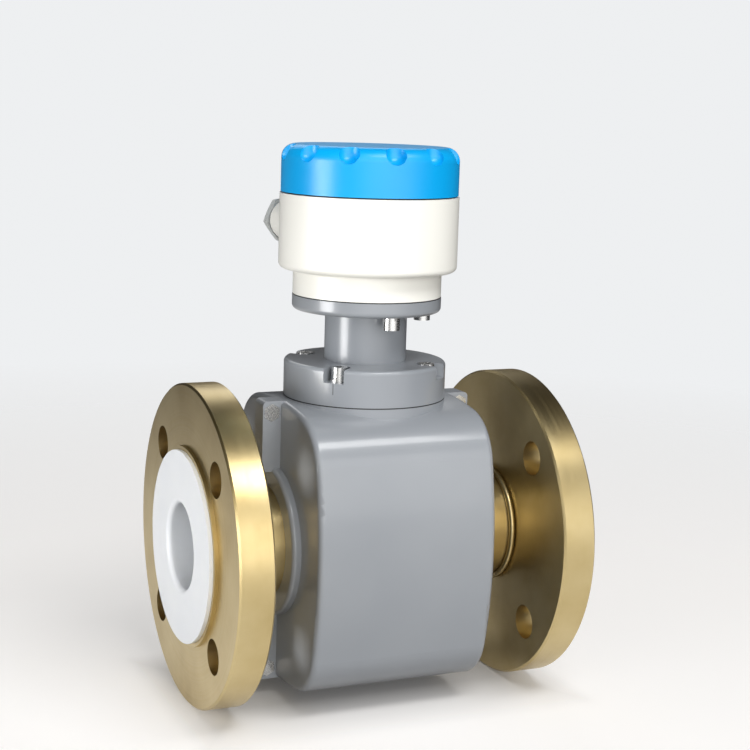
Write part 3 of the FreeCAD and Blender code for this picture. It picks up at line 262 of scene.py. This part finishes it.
FINISHES = {
    "passivated_steel": plated("gold_plating", GOLD_PALE, GOLD, GOLD_DEEP, "X", (0.29, 0.37)),
    "stainless": plated("turned_stainless", BRIGHT, BRIGHT, BRIGHT_DULL, "Y", (0.2, 0.34)),
    "fastener": plated("bright_zinc", BRIGHT, BRIGHT, BRIGHT_DULL, "Z", (0.20, 0.32)),
    "ptfe": fluoropolymer(),
    "grey_housing": cast_grey(),
    "ivory_head": moulded("ivory_paint", IVORY, IVORY_SHADE, (0.30, 0.34), 1400.0).material,
    "blue_cap": moulded("azure_paint", AZURE, AZURE_DEEP, (0.32, 0.37), 1400.0).material,
    "grey_plug": moulded("plug_nylon", PLUG_GREY, PLUG_SHADE, (0.38, 0.5), 1100.0).material,
    "seal_rubber": plain("black_rubber", (0.012, 0.012, 0.013, 1), (0.03, 0.03, 0.03, 1),
                         (0.55, 0.75)),
    "winding": plain("taped_winding", (0.22, 0.07, 0.02, 1), (0.42, 0.17, 0.06, 1), (0.35, 0.55)),
    "iron": plain("dull_iron", (0.10, 0.10, 0.11, 1), (0.2, 0.2, 0.21, 1), (0.4, 0.6), 1.0),
    "board": plain("solder_mask", (0.015, 0.14, 0.05, 1), (0.02, 0.2, 0.08, 1), (0.3, 0.42)),
    "terminal_green": plain("terminal_nylon", (0.03, 0.27, 0.08, 1), (0.05, 0.34, 0.12, 1),
                            (0.4, 0.55)),
    "lead_jacket": plain("lead_jacket", (0.02, 0.02, 0.02, 1), (0.05, 0.05, 0.05, 1), (0.5, 0.65)),
    "brass_pillar": plain("brass", (0.55, 0.38, 0.13, 1), (0.7, 0.52, 0.22, 1), (0.22, 0.36), 1.0),
}


def dress_cad():
    """Gives each CAD node its slot's finish and smooth shading with crisp edges."""
    slots = {part["node"]: part["material_slot"] for part in frame["record"]["subparts"]}
    for name, node in NODES.items():
        node.data.materials.clear()
        node.data.materials.append(FINISHES[slots[name]])
        for face in node.data.polygons:
            face.use_smooth = True
        split = node.modifiers.new("crisp", "EDGE_SPLIT")
        split.split_angle = CRISP_ANGLE


# ---------------------------------------------------------------- weld beads

BEAD_SEGMENTS = 220
BEAD_SIDES = 10
BEAD_RIPPLES = 58
BEAD_SHARE = 0.55
RIPPLE_LOW = 0.93
RIPPLE_SWELL = 0.07


def weld_bead(label, node):
    """A fillet bead with the overlapping ripples that a torch leaves."""
    low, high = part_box(node)
    outer = high.z
    width = high.x - low.x
    inward = -1.0 if low.x > 0 else 1.0
    root_x = high.x if low.x > 0 else low.x
    bead = width * BEAD_SHARE
    mesh = bmesh.new()
    rows = []
    for step in range(BEAD_SEGMENTS):
        angle = 2.0 * math.pi * step / BEAD_SEGMENTS
        phase = (step * BEAD_RIPPLES / BEAD_SEGMENTS) % 1.0
        swell = bead * (RIPPLE_LOW + RIPPLE_SWELL * math.sin(math.pi * phase))
        row = []
        for side in range(BEAD_SIDES):
            turn = 2.0 * math.pi * side / BEAD_SIDES
            radius = outer - bead + swell * math.cos(turn)
            x = root_x + inward * (bead + swell * math.sin(turn))
            row.append(mesh.verts.new((x, radius * math.cos(angle), radius * math.sin(angle))))
        rows.append(row)
    for step in range(BEAD_SEGMENTS):
        here, after = rows[step], rows[(step + 1) % BEAD_SEGMENTS]
        for side in range(BEAD_SIDES):
            following = (side + 1) % BEAD_SIDES
            mesh.faces.new((here[side], here[following], after[following], after[side]))
    bmesh.ops.recalc_face_normals(mesh, faces=mesh.faces)
    data = bpy.data.meshes.new(label)
    mesh.to_mesh(data)
    mesh.free()
    for face in data.polygons:
        face.use_smooth = True
    piece = bpy.data.objects.new(label, data)
    bpy.context.scene.collection.objects.link(piece)
    data.materials.append(FINISHES["passivated_steel"])
    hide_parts(node)
    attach(piece, METER)


# ---------------------------------------------------------------- studio

FLOOR_RADIUS = 1.6
FLOOR_SIDES = 96
FADE_START = 0.30
FADE_END = 1.05
FLOOR_GLOW = 0.50
# Painted shadow: the floor's glow is dim under the meter. For each axis, where that begins and
# where it ends.
FLOOR_PAINTED_SHADOW = (("X", 0.075, 0.11), ("Y", 0.02, 0.075))
FLOOR_PAINTED_SHADOW_GLOW = 0.04
PALE = (0.855, 0.868, 0.880, 1)
FLOOR_WARM = (0.88, 0.865, 0.85, 1)
FLOOR_PAPER = (0.64, 0.63, 0.62, 1)
ROOM_DARK = (0.03, 0.03, 0.032, 1)
# Each glow of the room: its direction, the cosines where it starts and is full, its colour.
ROOM_FRONT = ((0.0, -0.995, 0.10), 0.50, 0.88, (1.10, 1.09, 1.08, 1))
ROOM_BEHIND = ((-0.33, 0.90, -0.28), 0.80, 0.96, (0.12, 0.12, 0.12, 1))

# Each soft box: its place, its aim, its width and height, its power and its spread.
SOFT_LIGHTS = (
    ("front_box", (0.0, -1.45, 0.40), (0.0, 0.0, 0.06), 1.6, 0.9, 6.6, 180.0),
    ("high_box", (0.20, -0.85, 1.33), (0.0, 0.0, 0.08), 1.1, 0.36, 13.5, 180.0),
    ("left_box", (-1.20, -0.10, 0.0), (-0.10, 0.0, -0.01), 0.5, 0.5, 1.4, 60.0),
    ("left_high_box", (-1.05, -0.90, 0.75), (0.0, 0.0, 0.12), 0.6, 0.6, 1.8, 180.0),
    ("back_box", (0.30, 1.30, 0.95), (0.0, 0.0, 0.06), 0.9, 0.6, 3.0, 180.0),
)


def studio_floor(level):
    """A pale sheet that glows a little, so that it stays even, with a painted shadow where its
    glow is dim under the meter, and fades far out.
    """
    mesh = bmesh.new()
    bmesh.ops.create_circle(mesh, cap_ends=True, segments=FLOOR_SIDES, radius=FLOOR_RADIUS)
    data = bpy.data.meshes.new("studio_floor")
    mesh.to_mesh(data)
    mesh.free()
    floor = bpy.data.objects.new("studio_floor", data)
    floor.location.z = level
    bpy.context.scene.collection.objects.link(floor)
    shade = Shader("studio_paper", Roughness=0.7, Specular_IOR_Level=0.15,
                   Emission_Color=FLOOR_WARM, Base_Color=FLOOR_PAPER)
    shade.bump(shade.noise(300.0, 2.0), 0.0001, 0.05)
    split = shade.node("ShaderNodeSeparateXYZ")
    shade.link(shade.place, split.inputs[0])
    # Painted shadow: the glow falls to a dim level under the meter.
    painted_shadow_sides = [shade.ramp(shade.math("ABSOLUTE", split.outputs[axis]), inner, outer, 0.0, 1.0)
             for axis, inner, outer in FLOOR_PAINTED_SHADOW]
    glow = shade.ramp(shade.math("MAXIMUM", *painted_shadow_sides), 0.0, 1.0, FLOOR_PAINTED_SHADOW_GLOW, FLOOR_GLOW)
    shade.link(glow, shade.skin.inputs["Emission Strength"])
    length = shade.node("ShaderNodeVectorMath", operation="LENGTH")
    shade.link(shade.place, length.inputs[0])
    fade = shade.ramp(length.outputs["Value"], FADE_START, FADE_END, 1.0, 0.0)
    shade.link(fade, shade.skin.inputs["Alpha"])
    data.materials.append(shade.material)
    floor.visible_diffuse = False


def studio_world():
    """Pale to the camera; for light and reflections, bright before and dark beside."""
    world = bpy.data.worlds.new("studio")
    bpy.context.scene.world = world
    world.use_nodes = True
    tree = world.node_tree
    tree.nodes.clear()
    make = tree.nodes.new
    links = tree.links
    out = make("ShaderNodeOutputWorld")
    seen = make("ShaderNodeBackground")
    seen.inputs[0].default_value = PALE
    light = make("ShaderNodeBackground")
    path = make("ShaderNodeLightPath")
    mix = make("ShaderNodeMixShader")
    place = make("ShaderNodeTexCoord")
    glow = None
    for direction, edge, middle, colour in (ROOM_FRONT, ROOM_BEHIND):
        ahead = make("ShaderNodeVectorMath")
        ahead.operation = "DOT_PRODUCT"
        ahead.inputs[1].default_value = direction
        scale = make("ShaderNodeMapRange")
        scale.interpolation_type = "SMOOTHSTEP"
        scale.inputs[1].default_value = edge
        scale.inputs[2].default_value = middle
        blend = make("ShaderNodeMix")
        blend.data_type = "RGBA"
        blend.inputs[6].default_value = ROOM_DARK
        blend.inputs[7].default_value = colour
        links.new(place.outputs["Generated"], ahead.inputs[0])
        links.new(ahead.outputs["Value"], scale.inputs[0])
        links.new(scale.outputs[0], blend.inputs[0])
        if glow:
            links.new(glow, blend.inputs[6])
        glow = blend.outputs[2]
    links.new(glow, light.inputs[0])
    links.new(path.outputs["Is Camera Ray"], mix.inputs[0])
    links.new(light.outputs[0], mix.inputs[1])
    links.new(seen.outputs[0], mix.inputs[2])
    links.new(mix.outputs[0], out.inputs[0])


def soft_light(name, place, aim, width, height, watts, spread):
    """A rectangular area light, turned from its place towards its aim."""
    data = bpy.data.lights.new(name, "AREA")
    data.shape = "RECTANGLE"
    data.size = width
    data.size_y = height
    data.energy = watts
    data.spread = math.radians(spread)
    light = bpy.data.objects.new(name, data)
    light.location = place
    light.rotation_euler = (Vector(aim) - Vector(place)).to_track_quat("-Z", "Y").to_euler()
    bpy.context.scene.collection.objects.link(light)


def studio_camera():
    """A long lens at the left front, rolled a little."""
    data = bpy.data.cameras.new("camera")
    data.sensor_width = 36.0
    data.lens = CAMERA_LENS
    data.shift_x = -CAMERA_SHIFT
    data.shift_y = -CAMERA_SHIFT
    ahead = (CAMERA_AIM - CAMERA_PLACE).normalized()
    right = ahead.cross(Vector((0, 0, 1))).normalized()
    up = right.cross(ahead)
    side = right * math.cos(CAMERA_ROLL) + up * math.sin(CAMERA_ROLL)
    top = up * math.cos(CAMERA_ROLL) - right * math.sin(CAMERA_ROLL)
    turn = Matrix((side, top, -ahead)).transposed().to_4x4()
    camera = bpy.data.objects.new("camera", data)
    camera.matrix_world = Matrix.Translation(CAMERA_PLACE) @ turn
    bpy.context.scene.collection.objects.link(camera)
    bpy.context.scene.camera = camera


studio_camera()
dress_cad()
weld_bead("inlet_weld_bead", "inlet_weld")
weld_bead("outlet_weld_bead", "outlet_weld")
studio_floor(CAD_BOX[0][2])
studio_world()
for label, *settings in SOFT_LIGHTS:
    soft_light(label, *settings)
bpy.context.scene.view_settings.view_transform = "Standard"
